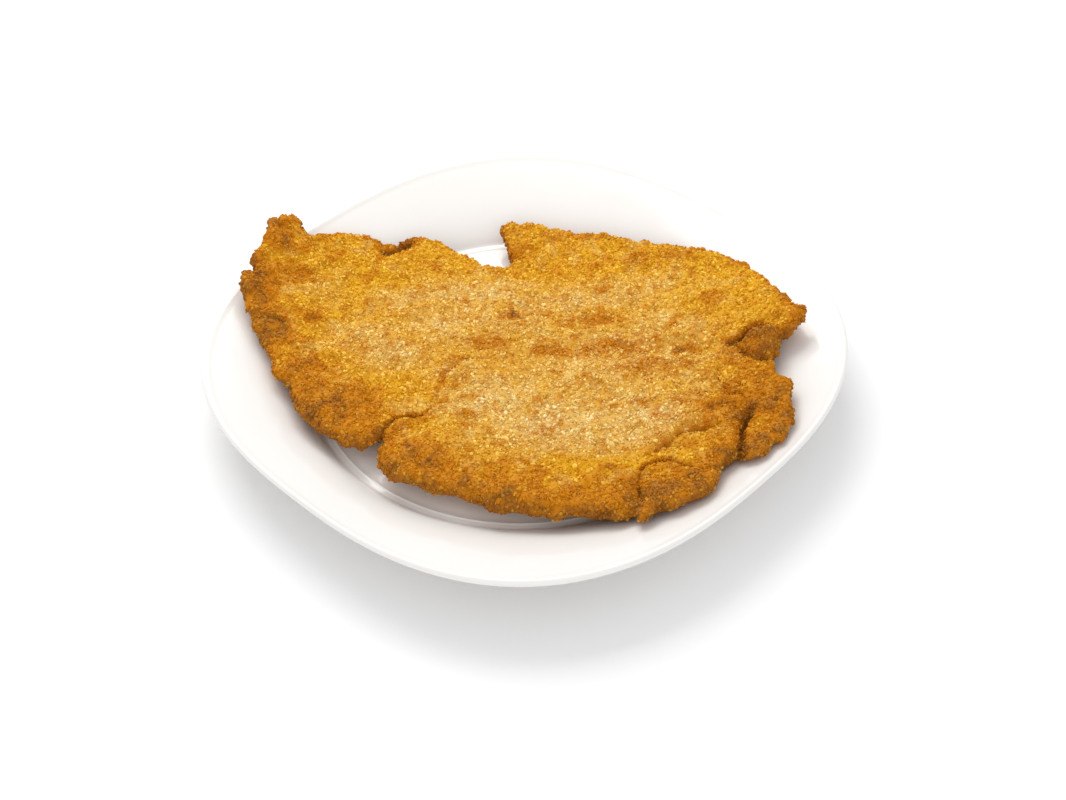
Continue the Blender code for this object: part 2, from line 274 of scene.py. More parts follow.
class PlateSettings(PropertyGroup):
    """Sizes and colour of the dinner plate"""

    squareness: amount("Squareness", "Exponent of the outline; 2 is a circle", 2.535)
    well_radius: length("Well radius", "Radius of the flat well", 94 * MM)
    floor_height: length("Floor height", "Height of the well's upper face", 5 * MM)
    wall: length("Wall", "Thickness of the ceramic", 3.8 * MM)
    lip_radius: length("Lip radius", "Rounding of the rim's edge", 1.6 * MM)
    foot_radius: length("Foot radius", "Outer radius of the foot ring", 84 * MM)
    foot_width: length("Foot width", "Width of the foot ring", 5 * MM)
    recess: length("Recess", "Height of the underside inside the foot ring", 1.4 * MM)
    fillet: length("Fillet", "Softness of the turn from the well to the rim", 0.5 * MM)
    segments: number("Segments", "Sides around the plate", 288)
    glaze: colour("Glaze", "Colour of the glaze", (0.835, 0.81, 0.78))


class CrustSettings(PropertyGroup):
    """Sizes and colours of the fried crust"""

    voxel: length("Grain of the mesh", "Size of the crust's faces", 0.955 * MM)
    sink: length("Sink", "How far the crust starts inside the solid", 0.2 * MM)
    swell: length("Swell", "Height of the broad lumps", 1.3 * MM)
    pebble: length("Pebble", "Height of the crumb-sized relief", 0.42 * MM)
    ragged: length("Ragged edge", "Height of the lumps along the edge", 1.5 * MM)
    golden: colour("Golden", "Most of the crust", (0.71, 0.37, 0.014))
    pale: colour("Pale", "Dry crumbs in the middle", (0.765, 0.56, 0.20))
    yellow: colour("Yellow", "Oily patches", (0.76, 0.425, 0.012))
    orange: colour("Orange", "Small toasted blotches", (0.66, 0.24, 0.010))
    amber: colour("Amber", "Rounded edges", (0.56, 0.20, 0.005))
    brown: colour("Brown", "Well fried places", (0.30, 0.105, 0.014))
    # Painted shade: the colour painted into the bottoms of the creases
    crease_shade_colour: colour("Dark", "Bottoms of the creases", (0.07, 0.018, 0.003))
    cream: colour("Cream", "The palest grains", (0.95, 0.79, 0.40))
    honey: colour("Honey", "Light grains away from the pale patches", (0.95, 0.63, 0.08))
    gloss: amount("Gloss", "Strength of the oily shine", 0.06, subtype="FACTOR")


class CrumbSettings(PropertyGroup):
    """Numbers and sizes of the loose crumbs"""

    grit_count: number("Grit", "How many grains of grit", 23000)
    grit_size: length("Grit size", "Mean width of a grain of grit", 0.8 * MM)
    fine_count: number("Fine crumbs", "How many fine crumbs", 16000)
    fine_size: length("Fine size", "Mean width of a fine crumb", 1.15 * MM)
    coarse_count: number("Coarse crumbs", "How many coarse crumbs", 9000)
    coarse_size: length("Coarse size", "Mean width of a coarse crumb", 1.6 * MM)
    nugget_count: number("Nuggets", "How many nuggets on the edges", 1500)
    nugget_size: length("Nugget size", "Mean width of a nugget", 2.0 * MM)


class StudioSettings(PropertyGroup):
    """Floor, lights and camera"""

    floor: colour("Floor", "Colour of the table", (0.90, 0.90, 0.90))
    table_half: length("Table", "Half the width of the table", 30.0)
    ambient: amount("Ambient", "Brightness of the white room", 0.845)
    key_power: amount("Key light", "Power of the soft light behind", 7.4, unit="POWER")
    fill_power: amount("Fill light", "Power of the soft light in front", 2.0, unit="POWER")
    distance: length("Distance", "From the camera to the place it looks at", 650 * MM)
    elevation: amount(
        "Elevation", "Angle at which the camera looks down", math.radians(43.18), subtype="ANGLE"
    )
    roll: amount("Roll", "Tilt of the camera", math.radians(-1.92), subtype="ANGLE")
    lens: amount("Lens", "Focal length of the camera", 52.85, subtype="DISTANCE_CAMERA")


# --- helpers for meshes ----------------------------------------------------------------------


def link(name, mesh, finish):
    """A new object in the scene, with the material finish if there is one."""
    made = bpy.data.objects.new(name, mesh)
    bpy.context.scene.collection.objects.link(made)
    if finish is not None:
        mesh.materials.clear()
        mesh.materials.append(finish)
    return made


def vectors(items, field):
    """The vectors of a mesh's items as rows of numbers."""
    values = np.zeros(len(items) * 3, np.float32)
    items.foreach_get(field, values)
    return values.reshape(-1, 3).astype(float)


def store(mesh, name, values):
    """Keep one number for each point of the mesh, for the materials to read."""
    attribute = mesh.attributes.new(name, "FLOAT", "POINT")
    attribute.data.foreach_set("value", np.asarray(values, np.float32))


def stored(mesh, name):
    values = np.zeros(len(mesh.vertices), np.float32)
    mesh.attributes[name].data.foreach_get("value", values)
    return values


def ease(value):
    """A smooth step from 0 to 1."""
    value = np.clip(value, 0.0, 1.0)
    return value * value * (3 - 2 * value)


def lumps(points, size, seed):
    """Smooth noise between about -1 and 1, size across."""
    shift = Vector((seed * 17.3, seed * 5.1, seed * 9.7))
    return np.array([noise.noise(Vector(p) / size + shift) for p in points]) * 1.6


def pebbles(points, size, seed):
    """Round bumps, size across: 1 at a bump's middle and about 0 between bumps."""
    shift = Vector((seed * 11.9, seed * 3.7, seed * 7.3))
    return np.array([1 - 1.25 * noise.voronoi(Vector(p) / size + shift)[0][0] for p in points])


def to_line(points, line):
    """Distance in plan from each point to the line, and the line's value at the nearest place."""
    ends = np.array(line, float) * MM
    starts, spans = ends[:-1, :2], np.diff(ends[:, :2], axis=0)
    away = points[:, None, :2] - starts[None, :, :]
    t = np.clip((away * spans).sum(axis=2) / (spans**2).sum(axis=1), 0.0, 1.0)
    distances = np.linalg.norm(away - t[:, :, None] * spans[None, :, :], axis=2)
    nearest = distances.argmin(axis=1)
    rows = np.arange(len(points))
    t = t[rows, nearest]
    return distances[rows, nearest], ends[nearest, 2] * (1 - t) + ends[nearest + 1, 2] * t


def dimmed(tint, share):
    return tuple(part * share for part in tint)


def patches(points, wanted):
    """Strongest of the soft patches at each point."""
    found = np.zeros(len(points))
    for centre, reach, strength in wanted:
        x = (points[:, 0] / MM - centre[0]) / reach[0]
        y = (points[:, 1] / MM - centre[1]) / reach[1]
        found = np.maximum(found, strength * np.exp(-(x * x + y * y) ** 1.5))
    return found


# --- helpers for materials -------------------------------------------------------------------


class Nodes:
    """A material's node tree, with short ways to add and join nodes"""

    def __init__(self, name):
        self.material = bpy.data.materials.new(name)
        self.material.use_nodes = True
        self.tree = self.material.node_tree
        self.shader = self.tree.nodes["Principled BSDF"]

    def add(self, kind, inputs=None, **settings):
        node = self.tree.nodes.new(kind)
        for key, value in settings.items():
            setattr(node, key, value)
        for key, value in (inputs or {}).items():
            self.set(node.inputs[key], value)
        return node

    def set(self, socket, value):
        if isinstance(value, bpy.types.NodeSocket):
            self.tree.links.new(value, socket)
            return
        if isinstance(value, tuple) and len(value) == 3:  # a colour without its alpha
            value = (*value, 1.0)
        socket.default_value = value

    def place(self):
        return self.add("ShaderNodeTexCoord").outputs["Object"]

    def attribute(self, name):
        return self.add("ShaderNodeAttribute", attribute_name=name).outputs["Fac"]

    def noise(self, size, detail=2.0, roughness=0.5):
        inputs = {"Vector": self.place(), "Scale": 1 / size}
        inputs |= {"Detail": detail, "Roughness": roughness}
        return self.add("ShaderNodeTexNoise", inputs).outputs["Fac"]

    def ramp(self, value, low, high, out_low=0.0, out_high=1.0):
        inputs = {0: value, 1: low, 2: high, 3: out_low, 4: out_high}
        return self.add("ShaderNodeMapRange", inputs, interpolation_type="SMOOTHSTEP").outputs[0]

    def math(self, operation, a, b):
        return self.add("ShaderNodeMath", {0: a, 1: b}, operation=operation).outputs[0]

    def mix(self, share, a, b):
        node = self.add("ShaderNodeMix", data_type="RGBA")
        for index, value in ((0, share), (6, a), (7, b)):
            self.set(node.inputs[index], value)
        return node.outputs[2]

    def bump(self, height, strength, distance):
        inputs = {"Height": height, "Strength": strength, "Distance": distance}
        return self.add("ShaderNodeBump", inputs).outputs["Normal"]

    def finish(self, **inputs):
        for key, value in inputs.items():
            self.set(self.shader.inputs[key.replace("_", " ")], value)
        return self.material


def glaze_material(white):
    """White glaze: glossy, with a faint waviness."""
    nodes = Nodes("white_glaze")
    tint = nodes.ramp(nodes.noise(60 * MM), 0.3, 0.7)
    base = nodes.mix(tint, white, dimmed(white, 0.985))
    gloss = nodes.ramp(nodes.noise(14 * MM, 4.0), 0.35, 0.7, 0.13, 0.22)
    wave = nodes.bump(nodes.noise(22 * MM, 1.0), 0.06, 0.4 * MM)
    return nodes.finish(Base_Color=base, Roughness=gloss, Normal=wave)


def crust_material(name, crust, loose):
    """Fried crumb crust: its colour follows the toasting with the painted shade of the creases, the
    paleness and the yellowness stored on the mesh. On loose crumbs each crumb has its own shade;
    elsewhere fine noise gives the shades."""
    nodes = Nodes(name)
    paleness = nodes.attribute("paleness")
    base = tuple(crust.golden)
    softness = 0.16  # how gradually a spot sets in
    for size, low, share, tint in (
        (5.0 * MM, 0.50, 0.6, crust.yellow),
        (3.6 * MM, 0.56, 0.6, crust.orange),
        (11.0 * MM, 0.50, 0.4, crust.pale),
    ):
        spots = nodes.ramp(nodes.noise(size), low, low + softness, 0.0, share)
        base = nodes.mix(spots, base, tuple(tint))
    patchy = nodes.ramp(nodes.noise(2.8 * MM, 3.0), 0.38, 0.62, 0.45, 1.0)
    base = nodes.mix(nodes.math("MULTIPLY", paleness, patchy), base, tuple(crust.pale))
    oily = nodes.math("MULTIPLY", nodes.attribute("yellowness"), 0.85)
    base = nodes.mix(oily, base, tuple(crust.yellow))
    mottle = nodes.ramp(nodes.noise(8 * MM, 3.0), 0.45, 0.75, 0.0, 0.25)
    # Toasting with painted shade from the creases and the steep slopes
    browning_and_shade = nodes.math("ADD", nodes.attribute("browning_and_shade"), mottle)
    toasted = nodes.ramp(browning_and_shade, 0.0, 0.5)
    base = nodes.mix(toasted, base, tuple(crust.amber))
    base = nodes.mix(nodes.ramp(browning_and_shade, 0.45, 1.0), base, tuple(crust.brown))

    if loose:
        shade = nodes.math("ADD", nodes.attribute("shade"), nodes.math("MULTIPLY", paleness, 0.15))
        base = nodes.mix(nodes.ramp(shade, 0.0, 0.35, 0.7, 0.0), base, tuple(crust.amber))
        grain = nodes.mix(paleness, tuple(crust.honey), tuple(crust.cream))
        plain = nodes.math("SUBTRACT", 1.0, nodes.math("MULTIPLY", toasted, 0.68))
        lighter = nodes.math("MULTIPLY", nodes.ramp(shade, 0.4, 1.0, 0.0, 0.95), plain)
        base = nodes.mix(lighter, base, grain)
    else:
        # Painted shade: fine amber specks stand for the shade in the hollows between the grains
        hollow_shade = nodes.ramp(nodes.noise(1.1 * MM), 0.45, 0.6, 0.4, 0.0)
        base = nodes.mix(hollow_shade, base, tuple(crust.amber))
    # Painted shade: above 1 the colour turns to the crease-shade colour at the furrows' bottoms
    base = nodes.mix(nodes.ramp(browning_and_shade, 1.0, 1.35), base, tuple(crust.crease_shade_colour))
    rough = nodes.ramp(nodes.noise(6 * MM, 3.0), 0.35, 0.7, 0.35, 0.6)
    grit = nodes.bump(nodes.noise(0.5 * MM, 3.0, 0.6), 0.5, 0.2 * MM)
    nodes.shader.inputs["Specular IOR Level"].default_value = crust.gloss
    return nodes.finish(Base_Color=base, Roughness=rough, Normal=grit)


# --- plate -----------------------------------------------------------------------------------

COVE_POWER = 0.65  # below 1 the rim leaves the well steeply and then flattens out
COVE_START = 0.03  # moves the curve's vertical start out of sight, so that it starts at a slope
RING_INSET = 4.0  # from the well's edge to the inner side of the fine ring, in millimetres
RING_SPACING = 0.3  # between the rings of faces that form it
RING_HEIGHT = 0.25 * MM


def half_width(squareness):
    """From the plate's middle to a flat side, worked out from its corner-to-corner width."""
    return PLATE_CORNER * 2 ** (1 / squareness - 0.5)


def rim_radius(angle, squareness):
    """Radius of the rounded-square rim; its corners lie on the axes."""
    turned = angle - math.pi / 4
    total = np.abs(np.cos(turned)) ** squareness + np.abs(np.sin(turned)) ** squareness
    return half_width(squareness) * total ** (-1 / squareness)


def dish_height(share, plate):
    """Height of the dish's upper face: share is below 0 in the well and 1 at the rim."""
    start = COVE_START**COVE_POWER
    whole = (1 + COVE_START) ** COVE_POWER - start
    depth = RIM_HEIGHT - plate.floor_height
    steepest = COVE_POWER * COVE_START ** (COVE_POWER - 1)
    raised = (max(share, 0.0) + COVE_START) ** COVE_POWER - start + steepest * min(share, 0.0)
    height = depth * raised / whole
    rounded = math.log1p(math.exp(min(height / plate.fillet, 50)))  # 50 keeps exp within range
    return plate.floor_height + plate.fillet * rounded


def plate_stations(plate):
    """The section as (radius, share, height), from the middle over the rim to the middle below.
    A ring's radius is radius + share * (rim radius - well radius)."""
    well = plate.well_radius
    floor = plate.floor_height
    stations = [(well * k, 0.0, floor) for k in (0.15, 0.3, 0.5, 0.7, 0.85, 0.93)]
    for step in range(5):  # the fine ring, a low round one just inside the well's edge
        radius = well - (RING_INSET - RING_SPACING * step) * MM
        stations.append((radius, 0.0, floor + RING_HEIGHT * math.sin(math.pi * step / 4)))
    for away in (-2.2, -1.6, -1.0, -0.5, 0.0):
        share = away * MM / (half_width(plate.squareness) - well)
        stations.append((well + away * MM, 0.0, dish_height(share, plate)))
    # The rim's rings of faces stand close together at the well and further apart outwards
    shares = [0.012 * 1.24**k for k in range(20)]
    top = [s for s in shares if s < 0.72] + [0.8, 0.87, 0.92]
    stations += [(well, share, dish_height(share, plate)) for share in top]
    middle = RIM_HEIGHT - plate.lip_radius
    for step in range(9):  # the lip, half a round
        turn = math.radians(90 - 22.5 * step)
        inset = plate.lip_radius * (1 - math.cos(turn))
        stations.append((well - inset, 1.0, middle + plate.lip_radius * math.sin(turn)))
    for share in (0.9, 0.75, 0.6, 0.45, 0.32, 0.2, 0.12, 0.06):
        stations.append((well, share, dish_height(share, plate) - plate.wall))
    foot = plate.foot_radius
    inner = foot - plate.foot_width
    bevel, flat = 0.5 * MM, 0.3 * MM  # the foot's corners: their height, and how far they reach in
    stations += [
        (foot + plate.recess, 0.0, plate.recess),
        (foot + bevel, 0.0, bevel),
        (foot - flat, 0.0, 0.0),
        (inner + flat, 0.0, 0.0),
        (inner - bevel, 0.0, bevel),
        (inner - plate.recess, 0.0, plate.recess),
        (foot * 0.5, 0.0, plate.recess),
    ]
    return stations


class SCHNITZEL_OT_plate(Operator):
    """Make the white glazed plate"""

    bl_idname = "schnitzel.plate"
    bl_label = "Plate"

    def execute(self, context):
        plate = context.scene.schnitzel_plate
        count = plate.segments
        angles = np.arange(count) * 2 * math.pi / count
        reach = rim_radius(angles, plate.squareness) - plate.well_radius
        stations = plate_stations(plate)
        points = [(0.0, 0.0, plate.floor_height)]
        for radius, share, height in stations:
            away = radius + share * reach
            points += list(zip(away * np.cos(angles), away * np.sin(angles), [height] * count))
        points.append((0.0, 0.0, plate.recess))
        last = 1 + (len(stations) - 1) * count
        faces = []
        for i in range(count):
            j = (i + 1) % count
            faces += [(0, 1 + i, 1 + j), (last + j, last + i, len(points) - 1)]
            for ring in range(1, last, count):
                faces.append((ring + i, ring + count + i, ring + count + j, ring + j))
        mesh = bpy.data.meshes.new("dinner_plate")
        mesh.from_pydata(points, [], faces)
        mesh.shade_smooth()
        piece = link("dinner_plate", mesh, glaze_material(tuple(plate.glaze)))
        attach(piece, "root")
        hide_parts("plate")
        return {"FINISHED"}


# --- crust -----------------------------------------------------------------------------------

SAME_PLACE = 1e-6  # points nearer to each other than this are joined
# Widths of the crust's lumps, from the broadest to the finest
HUMP, WRINKLE, SWELLING, RAG, BUMP, TATTER = 13 * MM, 11 * MM, 6 * MM, 6 * MM, 5 * MM, 3 * MM
PEBBLE, GRAIN = 1.9 * MM, 1.6 * MM
WANDER = 0.6 * MM  # how far the furrows and folds stray from their lines
RAGGED_REACH = 7 * MM  # from the edge inwards
RAGGED_FADE = 60 * MM  # the edge grows more ragged from the middle to this far left
CLOUD, FINE_CLOUD = 16 * MM, 6 * MM  # widths of the clouds in the browning
UPRIGHT = 0.16  # the crust is an edge where its normal rises or falls less than this
UPWARD = 0.1  # and it carries furrows and folds where its normal rises more than this
FRONT_FROM, FRONT_DEPTH = 40 * MM, 110 * MM  # where the browner front starts, and its depth
RIM_REACH, FRONT_REACH = 5, 11  # browning of the edge in millimetres, and what the front adds


def even_copy(node, voxel):
    """A smooth, evenly meshed copy of a CAD node's mesh."""
    mesh = node.data.copy()
    whole = bmesh.new()
    whole.from_mesh(mesh)
    bmesh.ops.remove_doubles(whole, verts=whole.verts, dist=SAME_PLACE)
    whole.to_mesh(mesh)
    whole.free()
    source = link("crust_source", mesh, None)
    source.modifiers.new("Rounder", "SUBSURF").levels = 2
    remesh = source.modifiers.new("Even", "REMESH")
    remesh.mode = "VOXEL"
    remesh.voxel_size = voxel
    soften = source.modifiers.new("Soften", "SMOOTH")
    soften.factor = 0.5
    soften.iterations = 4
    evaluated = source.evaluated_get(bpy.context.evaluated_depsgraph_get())
    made = bpy.data.meshes.new_from_object(evaluated)
    bpy.data.objects.remove(source)
    return made


def edge_distance(points, normals):
    """Distance from each point to the nearest place where the crust stands upright."""
    upright = points[np.abs(normals[:, 2]) < UPRIGHT]
    tree = kdtree.KDTree(len(upright))
    for index, point in enumerate(upright):
        tree.insert(point, index)
    tree.balance()
    return np.array([tree.find(p)[2] for p in points])


def crust_relief(points, edge, bumps, crust):
    """How far each point of the crust moves out along its normal."""
    leftward = ease(-points[:, 0] / RAGGED_FADE)
    ragged = ease(1 - edge / RAGGED_REACH) * (0.45 + 0.55 * leftward)
    height = -crust.sink * np.ones(len(points))
    height += crust.swell * (0.7 * lumps(points, HUMP, 1) + 0.55 * bumps)
    height += crust.swell * 0.5 * pebbles(points, SWELLING, 12)
    wrinkles = 1 - 2.2 * np.abs(lumps(points * (1.0, 1.6, 1.0), WRINKLE, 9))
    height += 0.4 * crust.swell * np.clip(wrinkles, -1, 1)
    height += crust.pebble * (0.6 * pebbles(points, PEBBLE, 3) + 0.6 * lumps(points, GRAIN, 10))
    tattered = 0.45 * lumps(points, RAG, 4) + 0.45 * lumps(points, TATTER, 5)
    height += crust.ragged * ragged * tattered
    return height


def crust_lines(points, normals, lines, wander, steepness):
    """How deep or high the lines are, and how much they darken the crust: painted shade along the
    furrows, toasting along the folds. A greater steepness gives a flatter middle and steeper sides."""
    depth = np.zeros(len(points))
    browned_and_shaded = np.zeros(len(points))
    above = normals[:, 2] > UPWARD
    for width, brown, line in lines:
        distance, value = to_line(points, line)
        distance = np.abs(distance + wander) / (width * MM)
        depth = np.maximum(depth, value * np.exp(-(distance**steepness)) * above)
        # The darkening: painted shade in the furrows, toasting on the folds
        strength = brown * ease(value / (1.6 * MM))
        browned_and_shaded = np.maximum(browned_and_shaded, strength * np.exp(-((distance / 1.4) ** 2)))
    return depth, browned_and_shaded


def crust_browning_and_shade(points, normals, turned, edge, bumps, clouds, lines):
    """How toasted each point is, with painted shade: 0 is golden, 1 brown, and above 1 the painted
    shade of the creases' bottoms. normals are the solid's, turned are the finished crust's, and
    lines is the painted shade along the furrows with the toasting along the folds."""
    cloud, fine_cloud = clouds
    front = ease((FRONT_FROM - points[:, 1]) / FRONT_DEPTH)
    rimmed = ease(1 - edge / ((RIM_REACH + FRONT_REACH * front) * MM))
    rimmed *= 0.25 + 0.2 * front + 0.4 * cloud
    browned_and_shaded = np.maximum(rimmed, patches(points, BROWNING_AND_SHADE_PATCHES) * (0.5 + 0.8 * fine_cloud))
    browned_and_shaded += 0.4 * ease((bumps - 0.25) / 0.5) * (0.3 + 0.7 * cloud)
    # Painted shade: slopes that face less upwards are made darker, so the lumps read as round
    steep_shade = ease((0.85 - turned[:, 2]) / 0.7)
    browned_and_shaded = np.minimum(browned_and_shaded + 0.3 * steep_shade, 0.95)
    browned_and_shaded = np.maximum(browned_and_shaded, lines)
    underside = 0.55 * ease(-normals[:, 2])
    return np.clip(np.maximum(browned_and_shaded, underside), 0, 1.4)


class SCHNITZEL_OT_crust(Operator):
    """Make the schnitzel's crust from its solid"""

    bl_idname = "schnitzel.crust"
    bl_label = "Crust"

    def execute(self, context):
        crust = context.scene.schnitzel_crust
        mesh = even_copy(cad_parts["schnitzel"], crust.voxel)
        mesh.name = "crust"
        points = vectors(mesh.vertices, "co")
        normals = vectors(mesh.vertex_normals, "vector")
        edge = edge_distance(points, normals)
        wander = lumps(points, BUMP, 6) * WANDER
        # Painted shade: the darkening along the furrows
        depth, furrow_shade = crust_lines(points, normals, FURROWS, wander, 3)
        rise, folded = crust_lines(points, normals, RIDGES, wander, 2)
        bumps = lumps(points, BUMP, 2)
        moved = points + normals * crust_relief(points, edge, bumps, crust)[:, None]
        for (x, y), reach, move in BULGES:
            away = np.hypot(points[:, 0] / MM - x, points[:, 1] / MM - y) / reach
            moved += np.exp(-(away**2))[:, None] * np.array(move) * MM
        moved[:, 2] += rise - depth
        moved[:, 2] = np.clip(moved[:, 2], FOOD_BOTTOM, FOOD_TOP)
        mesh.vertices.foreach_set("co", moved.astype(np.float32).ravel())
        mesh.update()
        mesh.shade_smooth()

        cloud = 0.5 + 0.5 * lumps(points, CLOUD, 7)
        fine_cloud = 0.5 + 0.5 * lumps(points, FINE_CLOUD, 8)
        turned = vectors(mesh.vertex_normals, "vector")
        clouds, lines = (cloud, fine_cloud), np.maximum(furrow_shade, folded)
        browned_and_shaded = crust_browning_and_shade(points, normals, turned, edge, bumps, clouds, lines)
        # Toasting together with painted shade: the furrows' darkening and the steep slopes'
        # darkening
        store(mesh, "browning_and_shade", browned_and_shaded)
        pale = patches(points, PALE_PATCHES) * (0.55 + 0.65 * fine_cloud)
        store(mesh, "paleness", np.clip(pale, 0, 1))
        yellow = patches(points, YELLOW_PATCHES) * (0.45 + 0.8 * cloud)
        store(mesh, "yellowness", np.clip(yellow, 0, 1))
        store(mesh, "edge", edge)
        piece = link("crust", mesh, crust_material("fried_crust", crust, loose=False))
        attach(piece, "root")
        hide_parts("schnitzel")
        return {"FINISHED"}


# --- crumbs ----------------------------------------------------------------------------------

WIDTHS = (0.5, 1.9)  # least and greatest width of a crumb, as shares of the mean width
DENTS = (0.66, 1.3)  # how far each corner of a crumb is moved in or out
PROPORTIONS = ((0.8, 0.7, 0.5), (1.3, 1.1, 0.9))  # least and greatest stretch along its three axes
PRESSED = 0.7  # how much nearer the crust a crumb lies than a whole ball of its width
NUGGET_CLUMP, NUGGET_REACH = 9 * MM, 6 * MM  # width of a clump, and its reach from the edge
FIRST_SEED = 11


def triangles(made):
    """The points and triangles of a small bmesh, which is then freed."""
    bmesh.ops.triangulate(made, faces=made.faces)
    points = np.array([tuple(v.co) for v in made.verts])
    faces = np.array([[v.index for v in f.verts] for f in made.faces])
    made.free()
    return points, faces


def ball(subdivisions):
    """Points and triangles of a small round shape: 20 triangles, and 4 times as many each time."""
    made = bmesh.new()
    bmesh.ops.create_icosphere(made, subdivisions=subdivisions, radius=0.5)
    return triangles(made)


def block():
    """Points and triangles of a cube: 12 triangles."""
    made = bmesh.new()
    bmesh.ops.create_cube(made, size=0.66)
    return triangles(made)


def chip():
    """Points and triangles of an octahedron: 8 triangles."""
    points = np.array([(1, 0, 0), (0, 1, 0), (-1, 0, 0), (0, -1, 0), (0, 0, 1), (0, 0, -1)]) * 0.55
    around = ((0, 1), (1, 2), (2, 3), (3, 0))
    faces = [(a, b, 4) for a, b in around] + [(b, a, 5) for a, b in around]
    return points, np.array(faces)


def turns(count, rng):
    """Random rotation matrices."""
    q = rng.normal(size=(count, 4))
    w, x, y, z = (q / np.linalg.norm(q, axis=1)[:, None]).T
    rows = [
        [1 - 2 * (y * y + z * z), 2 * (x * y - z * w), 2 * (x * z + y * w)],
        [2 * (x * y + z * w), 1 - 2 * (x * x + z * z), 2 * (y * z - x * w)],
        [2 * (x * z - y * w), 2 * (y * z + x * w), 1 - 2 * (x * x + y * y)],
    ]
    return np.array(rows).transpose(2, 0, 1)


def scatter(name, shape, count, size, spread, density, sink, palest, seed, crust):
    """Crumbs of one kind, joined into one mesh. density gives, for each point of the crust, how
    thickly the crumbs lie there; sink is the share of a crumb's width that the crust hides, and
    palest is the palest shade of a crumb, up to 1. Crumbs above or below the solid are left out."""
    rng = np.random.default_rng(seed)
    ground = bpy.data.objects["crust"].data
    ground.calc_loop_triangles()
    corners = np.zeros(len(ground.loop_triangles) * 3, np.int32)
    ground.loop_triangles.foreach_get("vertices", corners)
    corners = corners.reshape(-1, 3)
    points = vectors(ground.vertices, "co")
    normals = vectors(ground.vertex_normals, "vector")
    a, b, c = (points[corners[:, k]] for k in range(3))
    areas = np.linalg.norm(np.cross(b - a, c - a), axis=1) / 2
    weights = areas * np.maximum(density(points, normals, ground)[corners].mean(axis=1), 0)
    picked = rng.choice(len(corners), size=count, p=weights / weights.sum())
    share = rng.dirichlet((1, 1, 1), size=count)[:, :, None]
    places = (points[corners[picked]] * share).sum(axis=1)
    outward = (normals[corners[picked]] * share).sum(axis=1)
    outward /= np.linalg.norm(outward, axis=1)[:, None]

    form, form_faces = shape
    widths = size * np.clip(rng.normal(1.0, spread, count), *WIDTHS)
    uneven = rng.uniform(*DENTS, (count, len(form), 1))
    flat = rng.uniform(*PROPORTIONS, (count, 3))
    shade = rng.uniform(0, palest, count)
    grains = form[None] * uneven * flat[:, None, :] * widths[:, None, None]
    grains = np.einsum("nij,nvj->nvi", turns(count, rng), grains)
    grains += (places + outward * (widths * (0.5 - sink) * PRESSED)[:, None])[:, None, :]
    heights = grains[:, :, 2]
    kept = ((heights > FOOD_BOTTOM) & (heights < FOOD_TOP)).all(axis=1)
    grains, picked, shade = grains[kept], picked[kept], shade[kept]
    offsets = np.arange(len(grains)) * len(form)
    faces = (form_faces[None] + offsets[:, None, None]).reshape(-1, 3)

    mesh = bpy.data.meshes.new(name)
    mesh.from_pydata(grains.reshape(-1, 3).tolist(), [], faces.tolist())
    for kind in ("browning_and_shade", "paleness", "yellowness"):
        values = stored(ground, kind)[corners[picked]].mean(axis=1)
        store(mesh, kind, np.repeat(values, len(form)))
    store(mesh, "shade", np.repeat(shade, len(form)))
    piece = link(name, mesh, crust_material(name, crust, loose=True))
    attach(piece, "root")


def all_over(points, normals, ground):
    """Thick on the upper face and the sides, thin underneath."""
    return 0.12 + 0.88 * ease((normals[:, 2] + 0.5) / 0.9)


def along_edges(points, normals, ground):
    """In clumps along the edges and the creases, and a few elsewhere."""
    edge = stored(ground, "edge")
    browned_and_shaded = stored(ground, "browning_and_shade")
    clump = ease(0.3 + 0.9 * lumps(points, NUGGET_CLUMP, 21))
    above = ease((normals[:, 2] + 0.7) / 0.9)
    return above * (0.03 + clump * (ease(1 - edge / NUGGET_REACH) + 0.35 * ease(browned_and_shaded - 0.3)))


class SCHNITZEL_OT_crumbs(Operator):
    """Scatter the grit, the fine crumbs, the coarse crumbs and the nuggets"""

    bl_idname = "schnitzel.crumbs"
    bl_label = "Crumbs"

    def execute(self, context):
        crumbs = context.scene.schnitzel_crumbs
        crust = context.scene.schnitzel_crust
        kinds = (
            dict(
                name="crumbs_grit", shape=chip(), count=crumbs.grit_count, size=crumbs.grit_size,
                spread=0.25, density=all_over, sink=0.3, palest=0.72,
            ),
            dict(
                name="crumbs_fine", shape=block(), count=crumbs.fine_count, size=crumbs.fine_size,
                spread=0.22, density=all_over, sink=0.38, palest=1.0,
            ),
            dict(
                name="crumbs_coarse", shape=ball(1), count=crumbs.coarse_count,
                size=crumbs.coarse_size, spread=0.25, density=all_over, sink=0.45, palest=1.0,
            ),
            dict(
                name="crumbs_nuggets", shape=ball(2), count=crumbs.nugget_count,
                size=crumbs.nugget_size, spread=0.3, density=along_edges, sink=0.6, palest=0.6,
            ),
        )
        for seed, kind in enumerate(kinds, FIRST_SEED):
            scatter(seed=seed, crust=crust, **kind)
        return {"FINISHED"}


# --- studio ----------------------------------------------------------------------------------

# Soft lights: place, width and height, tint
FILL_LIGHT = ((0.1, -0.95, 0.5), (1.2, 0.5), (1, 0.985, 0.96))
KEY_LIGHT = ((-0.22, 0.68, 0.86), (0.9, 0.6), (1, 0.99, 0.97))
LIT_PLACE = (0.0, 0.0, 0.02)  # where both lights point
ROOM_WHITE = (0.975, 0.985, 1.0, 1.0)
TABLE_CLOUD = 0.4  # width of the faint tones on the table
AIM_ACROSS, AIM_FORWARD = 0.0223, -0.2938  # where the camera points, in shares of PLATE_CORNER
SENSOR_WIDTH = 36.0
CLIP_START = 0.01


